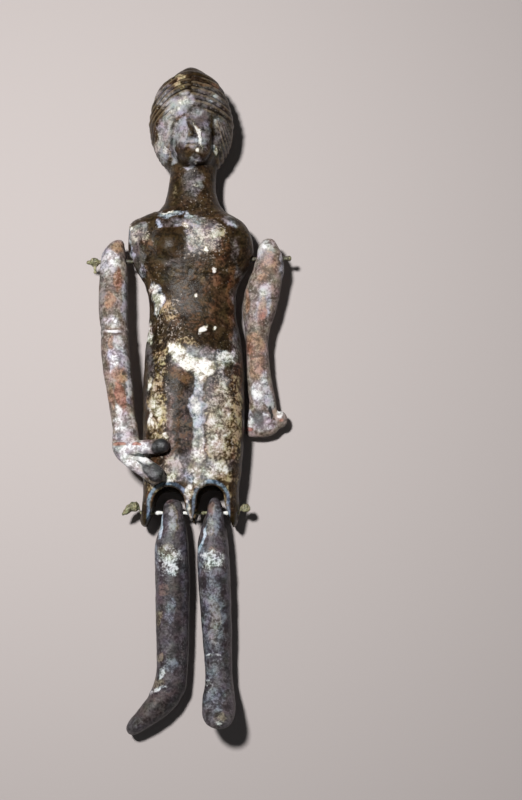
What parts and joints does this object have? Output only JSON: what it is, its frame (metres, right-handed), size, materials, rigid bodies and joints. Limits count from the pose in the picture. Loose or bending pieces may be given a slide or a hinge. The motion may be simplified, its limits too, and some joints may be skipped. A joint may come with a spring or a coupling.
{
  "type": "jointed terracotta doll",
  "caption": "Ancient hollow terracotta doll with a tall ridged hairdo, separate arms and legs strung on wires, and open clappers in one hand, lying on its flat back.",
  "frame": {"origin": "on the flat back of the body, under the waist, where the doll lies on its surface", "axes": "+X towards the doll's left arm (right in the picture), +Y to the crown of the head, +Z out of the face"},
  "size_m": [0.0613, 0.198, 0.0216],
  "materials": {
    "dark_clay": "olive-brown fired clay, worn semi-gloss, with remains of white and golden slip",
    "pale_clay": "matte lilac-grey fired clay with orange patches",
    "grey_clay": "worn purple-grey fired clay with whitish crust",
    "old_wire": "dull, tarnished and partly crusted"
  },
  "bodies": {
    "root": {"torso": "dark_clay", "arm_right": "pale_clay", "arm_left": "pale_clay", "leg_right": "grey_clay", "leg_left": "grey_clay", "shoulder_pin": "old_wire", "hip_pin": "old_wire"}
  },
  "joints": []
}
